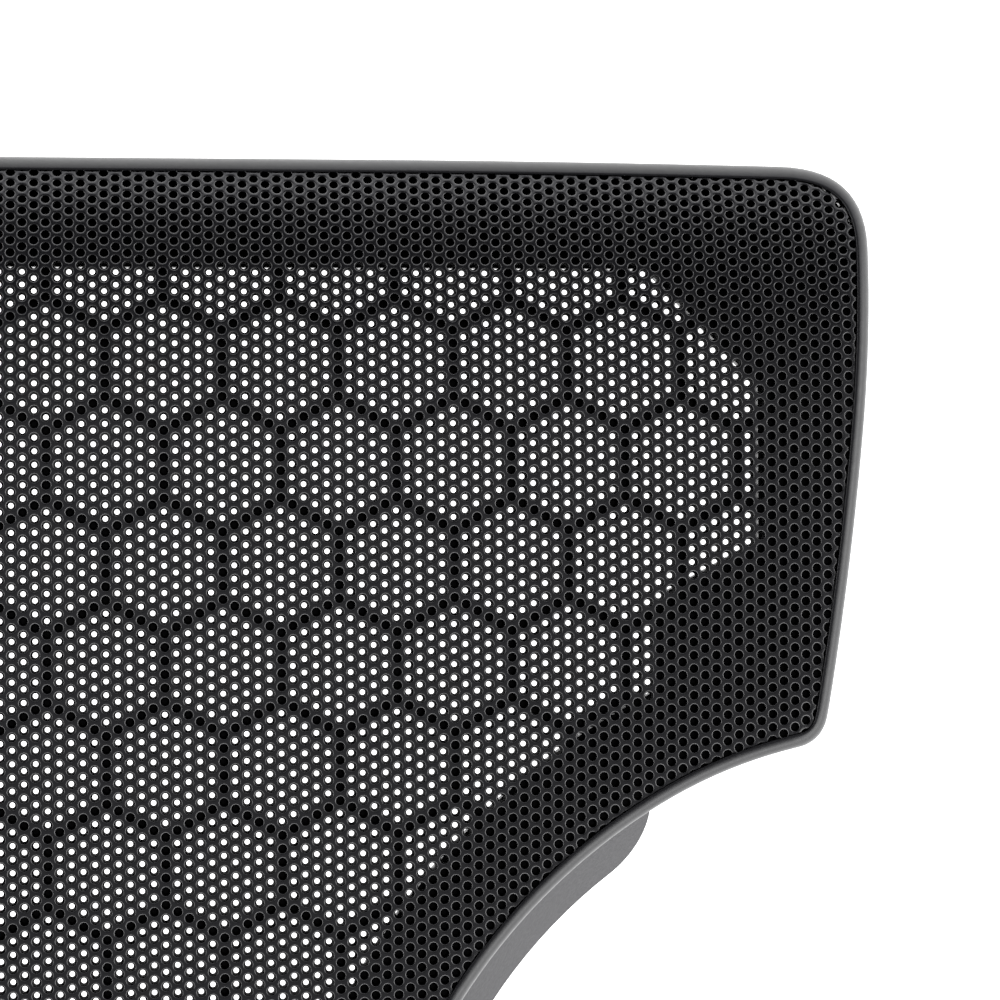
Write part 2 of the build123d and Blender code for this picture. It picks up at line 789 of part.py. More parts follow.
cover_x = box_x - box_wall - cover_gap
cover_length = box_length - 2 * (box_wall + cover_gap)
with BuildPart() as control_box_cover:
    with BuildSketch(Plane.XY.offset(box_floor)):
        with Locations((0, box_middle)):
            RectangleRounded(2 * cover_x, cover_length, box_inner_corner)
    extrude(amount=cover_thickness)
    for side in (-1, 1):
        for edge in (-1, 1):
            ear_x = side * foot_x + edge * (foot_width / 2 + foot_side_gap + ear_width / 2)
            with BuildSketch(Plane.YZ.offset(ear_x - ear_width / 2)):
                with Locations((foot_hinge_y, (ear_bottom + box_floor + 1) / 2)):
                    Rectangle(ear_length, box_floor + 1 - ear_bottom)
                with Locations((foot_hinge_y, foot_hinge_z)):
                    Circle(pin_radius, mode=Mode.SUBTRACT)
            extrude(amount=ear_width)
    with Locations(*[(x, y, box_floor + cover_thickness) for x, y in board_posts]):
        Cylinder(post_radius, board_floor - box_floor - cover_thickness, align=standing)
save(control_box_cover.part, "control_box_cover")

with BuildPart() as control_board:
    with BuildSketch(Plane.XY.offset(board_floor)):
        with Locations((0, (board_front + board_rear) / 2)):
            Rectangle(2 * board_x, board_rear - board_front)
        with Locations((wheel_place[0], wheel_place[1])):
            Circle(shaft_radius, mode=Mode.SUBTRACT)
    extrude(amount=board_thickness)
save(control_board.part, "control_board")

for side, name in ((-1, "left_usb_socket"), (1, "right_usb_socket")):
    with BuildPart() as usb_socket:
        with Locations((side * socket_x, box_rear - socket_inset, socket_floor)):
            Box(socket_width, socket_depth, socket_height, align=(Align.CENTER, Align.MAX, Align.MIN))
        with Locations((side * socket_x, box_rear - socket_inset, socket_floor + socket_wall)):
            Box(socket_width - 2 * socket_wall, socket_depth - 2, socket_height - 2 * socket_wall,
                align=(Align.CENTER, Align.MAX, Align.MIN), mode=Mode.SUBTRACT)
        tongue_top = socket_floor + socket_height - socket_wall - tongue_drop
        with Locations((side * socket_x, box_rear - socket_inset - tongue_inset, tongue_top)):
            Box(socket_width - 2 * tongue_inset, socket_depth - 2 * tongue_inset, socket_tongue,
                align=(Align.CENTER, Align.MAX, Align.MAX))
    save(usb_socket.part, name)

with BuildPart() as speed_control:
    with Locations((wheel_place[0], wheel_place[1] - encoder_shift, socket_floor)):
        Box(*encoder_size, align=standing)
    with Locations((wheel_place[0], wheel_place[1], socket_floor)):
        Cylinder(*encoder_boss, align=standing)
        Cylinder(shaft_radius, wheel_lift + wheel_thickness - wheel_gap, align=standing)
save(speed_control.part, "speed_control")

with BuildPart() as speed_wheel:
    with BuildSketch(Plane.XY.offset(wheel_floor)):
        with Locations(wheel_place):
            Circle(wheel_radius)
            with PolarLocations(wheel_radius + knurl_radius / 2, knurl_count):
                Circle(knurl_radius, mode=Mode.SUBTRACT)
            Circle(shaft_radius + bearing_clearance, mode=Mode.SUBTRACT)
    extrude(amount=wheel_thickness)
save(speed_wheel.part, "speed_wheel")

pivot = (switch_place[0], box_rear - rocker_pivot_inset, switch_place[1])
with BuildPart() as power_switch:
    with Locations((switch_place[0], box_rear, switch_place[1])):
        Box(switch_width, switch_depth, switch_height, align=(Align.CENTER, Align.MAX, Align.CENTER))
        Box(switch_width + 2 * switch_bezel, 1, switch_height + 2 * switch_bezel,
            align=(Align.CENTER, Align.MIN, Align.CENTER))
    with Locations((switch_place[0], box_rear + 1, switch_place[1])):
        Box(rocker_width + 2 * rocker_gap, 1 + switch_well, rocker_height + 2 * rocker_gap,
            align=(Align.CENTER, Align.MAX, Align.CENTER), mode=Mode.SUBTRACT)
    with Locations(pivot):
        Cylinder(rocker_pin_radius, switch_height - 1)
save(power_switch.part, "power_switch")

tilt = math.radians(rocker_tilt)
rocker_base = (pivot[0], pivot[1], pivot[2] - rocker_height / 2)
rocker_plane = Plane(rocker_base, x_dir=(math.cos(tilt), -math.sin(tilt), 0))
with BuildPart() as power_rocker:
    with BuildSketch(rocker_plane):
        with BuildLine():
            Polyline(
                (-rocker_width / 2, 0),
                (-rocker_width / 2, rocker_thickness + rocker_dish),
                (0, rocker_thickness),
                (rocker_width / 2, rocker_thickness + rocker_dish),
                (rocker_width / 2, 0),
                (rocker_foot, -rocker_foot),
                (-rocker_foot, -rocker_foot),
                close=True,
            )
        make_face()
        Circle(rocker_pin_radius + pin_clearance, mode=Mode.SUBTRACT)
    extrude(amount=rocker_height)
save(power_rocker.part, "power_rocker")

with BuildPart() as power_lens:
    with Locations(Location((lens_place[0], box_rear + lens_proud, lens_place[1]), (90, 0, 0))):
        Cylinder(lens_radius, lens_length, align=standing)
    fillet(power_lens.edges().group_by(Axis.Y)[-1], lens_round)
save(power_lens.part, "power_lens")


# Fold-out rear feet ------------------------------------------------------------------------

for side, word in ((-1, "left"), (1, "right")):
    with BuildPart() as rear_foot:
        with BuildSketch(Plane.YZ.offset(side * foot_x - foot_width / 2)):
            with Locations((foot_hinge_y, foot_hinge_z)):
                Circle(foot_thickness / 2)
                Rectangle(foot_length, foot_thickness, align=(Align.MIN, Align.CENTER))
                Circle(pin_radius + pin_clearance, mode=Mode.SUBTRACT)
        extrude(amount=foot_width)
        with BuildSketch(Plane.XY):
            with Locations((side * foot_x, foot_hinge_y + foot_length / 2 + foot_window_margin / 2)):
                RectangleRounded(foot_width - 2 * foot_window_margin, foot_length - 3 * foot_window_margin,
                                 foot_window_corner)
        extrude(amount=foot_hinge_z + foot_thickness, mode=Mode.SUBTRACT)
    save(rear_foot.part, f"{word}_rear_foot")

    with BuildPart() as foot_pad:
        with Locations((side * foot_x, foot_hinge_y + foot_length, foot_hinge_z)):
            Box(foot_width, foot_pad_length, foot_thickness, align=(Align.CENTER, Align.MIN, Align.CENTER))
        fillet(foot_pad.edges().filter_by(Axis.X).group_by(Axis.Y)[-1], foot_pad_round)
    save(foot_pad.part, f"{word}_foot_pad")

    pin_length = foot_width + 2 * (foot_side_gap + ear_width)
    with BuildPart() as foot_pin:
        with BuildSketch(Plane.YZ.offset(side * foot_x - pin_length / 2)):
            with Locations((foot_hinge_y, foot_hinge_z)):
                Circle(pin_radius)
        extrude(amount=pin_length)
    save(foot_pin.part, f"{word}_foot_pin")


# Front beam, flip-up stops --------------------------------------------------------------------

beam_middle = (beam_front + beam_back) / 2
beam_length = beam_back - beam_front
with BuildPart() as front_beam:
    with BuildSketch(Plane.XY.offset(box_floor)):
        with Locations((0, beam_middle)):
            RectangleRounded(2 * beam_x, beam_length, beam_corner)
    extrude(amount=apex - box_floor)
    with BuildSketch(Plane.XY.offset(box_floor)):
        with Locations((0, beam_middle)):
            RectangleRounded(2 * (beam_x - box_wall), beam_length - 2 * box_wall, beam_corner - box_wall)
    extrude(amount=beam_cavity, mode=Mode.SUBTRACT)
    with BuildSketch(Plane.XY.offset(box_floor)):
        with Locations(*beam_foot_places):
            Circle(foot_disc_radius)
    extrude(amount=beam_cavity)
    add(above_frame, mode=Mode.SUBTRACT)
save(front_beam.part, "front_beam")

stop_middle_y = stop_hinge_y + stop_length / 2
tray_floor = apex - tray_depth
for side, word in ((-1, "left"), (1, "right")):
    stop_z = apex - stop_depth - stop_thickness / 2
    with BuildPart() as stop_tray:
        with BuildSketch(Plane.XY.offset(tray_floor)):
            with Locations((side * stop_x, stop_middle_y)):
                Rectangle(stop_width + 2 * (stop_gap + tray_wall), pocket_length + 2 * tray_wall)
        extrude(amount=tray_depth)
        with BuildSketch(Plane.XY.offset(tray_floor + tray_wall)):
            with Locations((side * stop_x, stop_middle_y)):
                Rectangle(stop_width + 2 * stop_gap, pocket_length)
        extrude(amount=tray_depth, mode=Mode.SUBTRACT)
        with BuildSketch(Plane.YZ.offset(side * stop_x - stop_width)):
            with Locations((stop_hinge_y, stop_z)):
                Circle(pin_radius)
        extrude(amount=2 * stop_width, mode=Mode.SUBTRACT)
    save(stop_tray.part, f"{word}_stop_tray")

    with BuildPart() as laptop_stop:
        with BuildSketch(Plane.YZ.offset(side * stop_x - stop_width / 2)):
            with Locations((stop_hinge_y, stop_z)):
                Circle(stop_thickness / 2)
                Rectangle(stop_length, stop_thickness, align=(Align.MIN, Align.CENTER))
                Circle(pin_radius + pin_clearance, mode=Mode.SUBTRACT)
        extrude(amount=stop_width)
        with BuildSketch(Plane.XY.offset(apex - stop_depth)):
            with Locations((side * stop_x, stop_hinge_y + stop_length)):
                Circle(thumb_radius)
        extrude(amount=-thumb_depth, mode=Mode.SUBTRACT)
    save(laptop_stop.part, f"{word}_laptop_stop")

    with BuildPart() as stop_pin:
        stop_pin_length = stop_width + 2 * (stop_gap + tray_wall)
        with BuildSketch(Plane.YZ.offset(side * stop_x - stop_pin_length / 2)):
            with Locations((stop_hinge_y, stop_z)):
                Circle(pin_radius)
        extrude(amount=stop_pin_length)
    save(stop_pin.part, f"{word}_stop_pin")


# Pads, feet, fasteners, lead ---------------------------------------------------------------------

with BuildPart() as rest_pads:
    with Locations(*[(x, y, apex) for x, y in rest_pad_places]):
        Cylinder(rest_pad_radius, rest_pad_proud, align=standing)
    chamfer(rest_pads.edges().group_by(Axis.Z)[-1], rest_pad_chamfer)
save(rest_pads.part, "rest_pads")

with BuildPart() as rubber_feet:
    with Locations(*[(x, y, 0) for x, y in beam_foot_places + box_foot_places]):
        Cylinder(foot_disc_radius - 1, box_floor, align=standing)
    chamfer(rubber_feet.edges().group_by(Axis.Z)[0], rubber_foot_chamfer)
save(rubber_feet.part, "rubber_feet")

leg_screw = pan_head_screw(leg_screw_length)
with BuildPart() as leg_screws:
    for side in (-1, 1):
        for x, y in leg_screw_places:
            with Locations(Location((side * x, y, leg_top - leg_flange_thickness), (180, 0, 0))):
                add(leg_screw)
    add(above_frame, mode=Mode.SUBTRACT)
save(leg_screws.part, "leg_screws")

with BuildPart() as fan_lead:
    with BuildLine() as route:
        FilletPolyline(*lead_route, radius=lead_bend_radius)
    with BuildSketch(Plane(route.line @ 0, z_dir=route.line % 0)):
        Circle(lead_radius)
    sweep(path=route.line)
save(fan_lead.part, "fan_lead")
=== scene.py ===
import math

import bpy
import numpy as np
from mathutils import Matrix, Vector


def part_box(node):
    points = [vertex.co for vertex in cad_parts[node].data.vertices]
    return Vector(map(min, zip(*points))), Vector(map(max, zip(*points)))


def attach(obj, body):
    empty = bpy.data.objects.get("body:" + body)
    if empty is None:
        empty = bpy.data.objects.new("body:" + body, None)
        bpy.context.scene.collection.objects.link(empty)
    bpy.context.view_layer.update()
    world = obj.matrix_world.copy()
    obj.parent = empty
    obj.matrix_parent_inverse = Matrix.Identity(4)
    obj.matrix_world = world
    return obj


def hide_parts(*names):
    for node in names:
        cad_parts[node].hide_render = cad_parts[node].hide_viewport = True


# Laptop cooling pad. Lengths below are millimetres; meshes are written in metres.

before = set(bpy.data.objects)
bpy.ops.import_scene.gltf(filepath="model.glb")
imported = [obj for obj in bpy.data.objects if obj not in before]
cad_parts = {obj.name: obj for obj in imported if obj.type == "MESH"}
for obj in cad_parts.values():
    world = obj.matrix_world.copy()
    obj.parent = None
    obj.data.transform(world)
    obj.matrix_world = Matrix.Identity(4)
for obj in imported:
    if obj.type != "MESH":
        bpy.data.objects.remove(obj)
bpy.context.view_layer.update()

MM = 0.001
BODY = "base"

# The crown and outline, as in the CAD model -------------------------------------------

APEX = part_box("top_skin")[1].z / MM
# The crown is flat out to FLAT_X and FLAT_Y from the middle, and then bends down.
FLAT_X, SLOPE_X, SIDE_BEND = 40.0, math.radians(4.36), 263.0
FLAT_Y, REAR_BEND, REAR_ANGLE, LIP_BEND = 110.5, 71.7, math.radians(25.2), 45.0
HALF_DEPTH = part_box("perimeter_rim")[1].y / MM
CORNER, CORNER_RADIUS = (194.8, 150.4), 12.0
CORNER_LEAN = 0.3       # the side leans in from the corner, and so does the centre of its round
REAR_STRAIGHT, REAR_MIDDLE = 120.0, (158.0, 151.05)
SIDE_MIDDLE, SIDE_END_X, SIDE_END_RADIUS = (191.95, 102.5), 186.2, 3.5
WAIST_CENTRE, WAIST_RADIUS, WAIST_BLEND = (207.0, -25.3), 91.2, math.radians(33.5)
TIP_RADIUS, TIP_ANGLE = 72.6, math.radians(60)
ARC_SPACING, FINE_SPACING = 1.0, 0.5        # between points along the outline's arcs
ROUND_REACH, ROUND_POINTS = 1.02, 15        # a rounded corner: its reach in radii, and its points
REAR_PART_FROM = 140.0      # points of the quarter outline behind this belong to its rear edge
REACH_X, REACH_Y = 230, 180     # how far along the crown its tables go, past the outline
STEPS_PER_MM = 20
EDGE_ROLL_WIDTH, EDGE_ROLL_RADIUS = 6.0, 13.0

# The hole lattice ---------------------------------------------------------------------

PITCH = 2.0
HOLE_SIDES = 12
LAND_RADIUS = 0.86
LIP = ((0.79, 0.03), (0.66, 0.145))      # radius and depth of the rounded lip's rings
BACK_RADIUS, BACK_DEPTH = 0.40, 1.95
TUCK_DISTANCE, TUCK_SLOPE = 2.0, 1.5    # the skin dips under the rim's round
HIDDEN_UNDER_RIM = 1.3       # a cell whose centre is nearer the edge than this is left out
HALF_COLUMNS, HALF_ROWS = 120, 170      # each way from the middle, past the outline
POCKET_MARGIN = 0.9         # between a stop pocket and the centres of the nearest cells
TILES_X, TILES_Y = 6, 4
KEYS_PER_MM = 50            # points that agree to 0.02 mm are one vertex
KEY_STRIDE_T, KEY_STRIDE_DEPTH = 100003, 1009       # more than any key of a row or of a depth

# Rim and bezels -----------------------------------------------------------------------

RIM_WIDTH, RIM_ROUND = 2.2, 1.75
RIM_RISE, RIM_FOOT, RIM_DEPTH = 0.32, -1.6, 6.5     # from the top face: crest, inner foot, wall
RIM_INNER_EDGE = ((0.0, 0.3), (0.06, 0.1), (0.22, 0.0))     # outward and down from a sharp edge
RIM_LOWER_EDGE = ((0.0, 0.6), (0.15, 0.15), (0.5, 0.0))     # inward and up from a sharp edge
RIM_INNER_BEVEL = 0.3
RIM_ROUND_STEPS = 8
# The bezel's reach from a pocket's edge, and its rise over the apex.
BEZEL_PROFILE = ((0.0, -1.9), (0.0, 0.05), (0.2, 0.2), (1.9, 0.2), (2.15, 0.05), (2.15, -1.9))
BEZEL_CORNER_STEPS = 6

# Looks --------------------------------------------------------------------------------

MOTTLE_SCALE, MOTTLE_DETAIL = 45, 4
MOTTLE_LOW, MOTTLE_HIGH = 0.3, 0.7
GRAIN_DETAIL, GRAIN_HEIGHT = 3, 0.0001
ROUGHNESS_BELOW, ROUGHNESS_ABOVE = 0.06, 0.08       # how far the grain moves the roughness
FLOOR_SIZE, FLOOR_DROP, FLOOR_BASE, FLOOR_GLOW = 12, 0.3, 0.05, 2.2
SKY_STRENGTH, SKY_BLUE = 5.0, 1.05


def crown_x(along):
    """Plan distance and drop after walking along the crown, side to side."""
    s = np.abs(along)
    bend_length = SLOPE_X * SIDE_BEND
    bend = np.clip(s - FLAT_X, 0, bend_length) / SIDE_BEND
    slope = np.maximum(s - FLAT_X - bend_length, 0)
    plan = np.minimum(s, FLAT_X) + SIDE_BEND * np.sin(bend) + slope * math.cos(SLOPE_X)
    drop = SIDE_BEND * (1 - np.cos(bend)) + slope * math.sin(SLOPE_X)
    return np.sign(along) * plan, drop


def crown_y(along):
    """The same, front to back."""
    t = np.abs(along)
    bend_length = REAR_ANGLE * REAR_BEND
    bend = np.clip(t - FLAT_Y, 0, bend_length) / REAR_BEND
    lip = REAR_ANGLE + np.maximum(t - FLAT_Y - bend_length, 0) / LIP_BEND
    lip_plan = LIP_BEND * (np.sin(lip) - math.sin(REAR_ANGLE))
    lip_drop = LIP_BEND * (math.cos(REAR_ANGLE) - np.cos(lip))
    plan = np.minimum(t, FLAT_Y) + REAR_BEND * np.sin(bend) + lip_plan
    drop = REAR_BEND * (1 - np.cos(bend)) + lip_drop
    return np.sign(along) * plan, drop


ALONG = np.linspace(0, REACH_X, REACH_X * STEPS_PER_MM + 1)
PLAN_X, DROP_X = crown_x(ALONG)
PLAN_Y, DROP_Y = crown_y(ALONG[:REACH_Y * STEPS_PER_MM])

TIP_CENTRE = (
    WAIST_CENTRE[0] - (WAIST_RADIUS - TIP_RADIUS) * math.cos(TIP_ANGLE),
    WAIST_CENTRE[1] + (WAIST_RADIUS - TIP_RADIUS) * math.sin(TIP_ANGLE),
)
TIP_BLEND = (
    WAIST_CENTRE[0] - WAIST_RADIUS * math.cos(TIP_ANGLE),
    WAIST_CENTRE[1] + WAIST_RADIUS * math.sin(TIP_ANGLE),
)
SIDE_END = (
    SIDE_END_X,
    TIP_CENTRE[1] + math.sqrt(TIP_RADIUS ** 2 - (TIP_CENTRE[0] - SIDE_END_X) ** 2),
)


def circle_through(a, b, c):
    """Centre and radius of the circle through three plan points."""
    rows = [(2 * (p[0] - a[0]), 2 * (p[1] - a[1])) for p in (b, c)]
    sides = [p[0] ** 2 + p[1] ** 2 - a[0] ** 2 - a[1] ** 2 for p in (b, c)]
    centre = np.linalg.solve(np.array(rows), np.array(sides))
    return centre, math.dist(centre, a)


SIDE_CENTRE, SIDE_RADIUS = circle_through(CORNER, SIDE_MIDDLE, SIDE_END)
BLEND_POINT = (
    WAIST_CENTRE[0] - WAIST_RADIUS * math.cos(WAIST_BLEND),
    WAIST_CENTRE[1] + WAIST_RADIUS * math.sin(WAIST_BLEND),
)
NARROW_SHARE = BLEND_POINT[1] / (WAIST_RADIUS * math.sin(WAIST_BLEND))
NARROW_X = WAIST_CENTRE[0] - (1 - NARROW_SHARE) * WAIST_RADIUS * math.cos(WAIST_BLEND)
NARROW_RADIUS = NARROW_SHARE * WAIST_RADIUS


def waist_distance(x, y):
    """Distance from the waist arcs, positive on the pad's side."""
    x, y = np.abs(x), np.abs(y)
    wide = np.hypot(x - WAIST_CENTRE[0], y - WAIST_CENTRE[1]) - WAIST_RADIUS
    narrow = np.hypot(x - NARROW_X, y) - NARROW_RADIUS
    slope = BLEND_POINT[1] / (NARROW_X - BLEND_POINT[0])
    tip = np.hypot(x - TIP_CENTRE[0], y - TIP_CENTRE[1]) - TIP_RADIUS
    past_blend = (y - WAIST_CENTRE[1]) > math.tan(TIP_ANGLE) * (WAIST_CENTRE[0] - x)
    wide = np.where(past_blend & (y > 0), tip, wide)
    return np.where(y < slope * (NARROW_X - x), narrow, wide)


def edge_roll(x, y):
    """How far the top face turns down along the sides and the waist, beyond the crown."""
    side = SIDE_RADIUS - np.hypot(np.abs(x) - SIDE_CENTRE[0], np.abs(y) - SIDE_CENTRE[1])
    roll = np.zeros_like(x, dtype=float)
    for distance in (side, waist_distance(x, y)):
        near = np.clip(EDGE_ROLL_WIDTH - distance, 0, EDGE_ROLL_WIDTH)
        roll = roll + near ** 2 / (2 * EDGE_ROLL_RADIUS)
    return roll


def top_face(x, y):
    """Height of the top face over plan points."""
    drop = np.interp(np.abs(x), PLAN_X, DROP_X) + np.interp(np.abs(y), PLAN_Y, DROP_Y)
    return APEX - drop - edge_roll(x, y)


def turn_of(centre, point):
    """Direction from a centre to a point, in radians."""
    return math.atan2(point[1] - centre[1], point[0] - centre[0])


def arc_points(centre, radius, first, last, spacing):
    """Points along an arc, from the direction of one plan point to that of another."""
    start, end = turn_of(centre, first), turn_of(centre, last)
    count = max(int(abs(end - start) * radius / spacing), 4)
    turns = np.linspace(start, end, count + 1)
    return np.stack([centre[0] + radius * np.cos(turns), centre[1] + radius * np.sin(turns)], 1)


def rounded(points, corner, radius):
    """Replaces the corner of a dense polyline nearest a point by a curve of about this radius."""
    gap = np.hypot(*(points - np.array(corner)).T)
    middle = int(np.argmin(gap))
    reach = radius * ROUND_REACH
    first = middle - int(np.searchsorted(gap[middle::-1], reach))
    last = middle + int(np.searchsorted(gap[middle:], reach))
    a, b, c = points[first], points[middle], points[last]
    share = np.linspace(0, 1, ROUND_POINTS)[:, None]
    curve = (1 - share) ** 2 * a + 2 * share * (1 - share) * b + share ** 2 * c
    return np.concatenate([points[:first], curve, points[last + 1:]])


def quarter_outline():
    """The outline's right rear quarter, from the rear middle round to the waist, evenly dense."""
    rear_start = (REAR_STRAIGHT, HALF_DEPTH)
    rear_centre, rear_radius = circle_through(rear_start, REAR_MIDDLE, CORNER)
    narrow_centre, waist_middle = (NARROW_X, 0), (NARROW_X - NARROW_RADIUS, 0)
    straight_x = np.arange(0, REAR_STRAIGHT, ARC_SPACING)
    straight = np.stack([straight_x, np.full(len(straight_x), HALF_DEPTH)], 1)
    rear = arc_points(rear_centre, rear_radius, rear_start, CORNER, ARC_SPACING)
    side = arc_points(SIDE_CENTRE, SIDE_RADIUS, CORNER, SIDE_END, FINE_SPACING)
    tip = arc_points(TIP_CENTRE, TIP_RADIUS, SIDE_END, TIP_BLEND, FINE_SPACING)
    wide = arc_points(WAIST_CENTRE, WAIST_RADIUS, TIP_BLEND, BLEND_POINT, FINE_SPACING)
    narrow = arc_points(narrow_centre, NARROW_RADIUS, BLEND_POINT, waist_middle, ARC_SPACING)
    points = np.concatenate([straight, rear[:-1], side[:-1], tip[:-1], wide[:-1], narrow])
    points = rounded(points, CORNER, CORNER_RADIUS)
    return rounded(points, SIDE_END, SIDE_END_RADIUS)


def whole_outline():
    """The closed outline, counter-clockwise seen from above."""
    quarter = quarter_outline()[::-1]
    right_rear = quarter[:-1]
    left_rear = (quarter[::-1] * (-1, 1))[:-1]
    left_front = (quarter * (-1, -1))[:-1]
    right_front = (quarter[::-1] * (1, -1))[:-1]
    return np.concatenate([right_rear, left_rear, left_front, right_front])


def outward_normals(points):
    """Unit normals of a closed counter-clockwise outline."""
    ahead = np.roll(points, -1, 0) - np.roll(points, 1, 0)
    ahead /= np.linalg.norm(ahead, axis=1)[:, None]
    return np.stack([ahead[:, 1], -ahead[:, 0]], 1)


def inside_distance(x, y):
    """Distance of plan points inside the outline, negative outside it, and rough far from it."""
    x, y = np.abs(x), np.abs(y)
    rear = np.interp(x, QUARTER[REAR_PART, 0], QUARTER[REAR_PART, 1]) - y
    side = SIDE_RADIUS - np.hypot(x - SIDE_CENTRE[0], y - SIDE_CENTRE[1])
    distance = np.minimum(np.minimum(rear, side), waist_distance(x, y))
    corner_x = CORNER[0] - CORNER_RADIUS - CORNER_LEAN
    corner_y = CORNER[1] - CORNER_RADIUS
    in_corner = (x > corner_x) & (y > corner_y)
    corner = CORNER_RADIUS - np.hypot(x - corner_x, y - corner_y)
    return np.where(in_corner, np.minimum(distance, corner), distance)


QUARTER = quarter_outline()
REAR_PART = QUARTER[:, 1] > REAR_PART_FROM
OUTLINE = whole_outline()


def add_mesh(name, vertices, faces, materials, smooth=True, face_material=None):
    """A mesh object from millimetre vertices and rows of equal faces, or a list of such blocks."""
    blocks = faces if isinstance(faces, list) else [faces]
    mesh = bpy.data.meshes.new(name)
    mesh.vertices.add(len(vertices))
    mesh.vertices.foreach_set("co", (np.asarray(vertices) * MM).astype(np.float32).ravel())
    loops = np.concatenate([block.ravel() for block in blocks])
    sizes = np.concatenate([np.full(len(block), block.shape[1]) for block in blocks])
    loop_starts = np.concatenate([[0], np.cumsum(sizes)[:-1]])
    mesh.loops.add(len(loops))
    mesh.loops.foreach_set("vertex_index", loops.astype(np.int32))
    mesh.polygons.add(len(sizes))
    mesh.polygons.foreach_set("loop_start", loop_starts.astype(np.int32))
    mesh.update(calc_edges=True)
    mesh.validate()
    for material in materials:
        mesh.materials.append(material)
    if face_material is not None:
        mesh.polygons.foreach_set("material_index", face_material.astype(np.int32))
        smooth = face_material == 0
    mesh.polygons.foreach_set("use_smooth", np.broadcast_to(smooth, len(sizes)))
    piece = bpy.data.objects.new(name, mesh)
    bpy.context.scene.collection.objects.link(piece)
    return piece


# Materials ----------------------------------------------------------------------------

def plastic(name, colour, roughness, grain, bump, variation=0.0, specular=0.5):
    """Moulded plastic: faint mottling in the colour, and a fine grain in roughness and height."""
    material = bpy.data.materials.new(name)
    material.use_nodes = True
    nodes, links = material.node_tree.nodes, material.node_tree.links
    shader = nodes["Principled BSDF"]
    shader.inputs["Base Color"].default_value = (*colour, 1)
    shader.inputs["Roughness"].default_value = roughness
    shader.inputs["Specular IOR Level"].default_value = specular
    place = nodes.new("ShaderNodeTexCoord")
    if variation:
        mottle = nodes.new("ShaderNodeTexNoise")
        mottle.inputs["Scale"].default_value = MOTTLE_SCALE
        mottle.inputs["Detail"].default_value = MOTTLE_DETAIL
        links.new(place.outputs["Object"], mottle.inputs["Vector"])
        shades = nodes.new("ShaderNodeValToRGB")
        dark, light = shades.color_ramp.elements
        dark.position, light.position = MOTTLE_LOW, MOTTLE_HIGH
        dark.color = (*[c * (1 - variation) for c in colour], 1)
        light.color = (*[c * (1 + variation) for c in colour], 1)
        links.new(mottle.outputs["Fac"], shades.inputs["Fac"])
        links.new(shades.outputs["Color"], shader.inputs["Base Color"])
    speckle = nodes.new("ShaderNodeTexNoise")
    speckle.inputs["Scale"].default_value = grain
    speckle.inputs["Detail"].default_value = GRAIN_DETAIL
    links.new(place.outputs["Object"], speckle.inputs["Vector"])
    spread = nodes.new("ShaderNodeMapRange")
    spread.inputs["To Min"].default_value = roughness - ROUGHNESS_BELOW
    spread.inputs["To Max"].default_value = roughness + ROUGHNESS_ABOVE
    links.new(speckle.outputs["Fac"], spread.inputs["Value"])
    links.new(spread.outputs["Result"], shader.inputs["Roughness"])
    relief = nodes.new("ShaderNodeBump")
    relief.inputs["Strength"].default_value = bump
    relief.inputs["Distance"].default_value = GRAIN_HEIGHT
    links.new(speckle.outputs["Fac"], relief.inputs["Height"])
    links.new(relief.outputs["Normal"], shader.inputs["Normal"])
    return material


def metal(name, colour, roughness):
    """Bare or plated metal, with the plastic's mottling and a fine grain."""
    material = plastic(name, colour, roughness, grain=600, bump=0.15, variation=0.08)
    material.node_tree.nodes["Principled BSDF"].inputs["Metallic"].default_value = 1.0
    return material


GRILLE = plastic(
    "grille_plastic", (0.006, 0.006, 0.0075), 0.22,
    grain=1400, bump=0.3, specular=0.9,
)
BORE = plastic(
    "grille_bore", (0.006, 0.006, 0.007), 0.8,
    grain=1400, bump=0.3, variation=0.1, specular=0.08,
)
RIM = plastic("rim_plastic", (0.010, 0.010, 0.012), 0.33, grain=900, bump=0.2, variation=0.08)
FRAME = plastic(
    "frame_plastic", (0.006, 0.006, 0.007), 0.5,
    grain=700, bump=0.2, variation=0.15, specular=0.3,
)
LEG = plastic(
    "leg_plastic", (0.021, 0.020, 0.024), 0.5,
    grain=1600, bump=0.35, variation=0.06, specular=0.25,
)
BLACK = plastic("black_plastic", (0.022, 0.022, 0.024), 0.45, grain=1200, bump=0.3, variation=0.12)
GLOSS = plastic("gloss_plastic", (0.012, 0.012, 0.013), 0.16, grain=300, bump=0.03, variation=0.1)
RUBBER = plastic(
    "rubber", (0.016, 0.016, 0.016), 0.75,
    grain=1500, bump=0.4, variation=0.2, specular=0.3,
)
STEEL = metal("steel", (0.55, 0.55, 0.56), 0.3)
SHELL_STEEL = metal("shell_steel", (0.68, 0.68, 0.7), 0.22)
DARK_STEEL = metal("laminated_steel", (0.25, 0.25, 0.27), 0.42)
BRASS = metal("brass", (0.6, 0.42, 0.16), 0.35)
COPPER = metal("copper", (0.6, 0.24, 0.1), 0.35)
BOARD = plastic("board", (0.01, 0.10, 0.035), 0.35, grain=400, bump=0.1, variation=0.15)
FERRITE = plastic("ferrite", (0.06, 0.055, 0.05), 0.6, grain=900, bump=0.3, variation=0.15)
LENS = plastic("lens", (0.10, 0.28, 0.55), 0.2, grain=200, bump=0.02, variation=0.1)

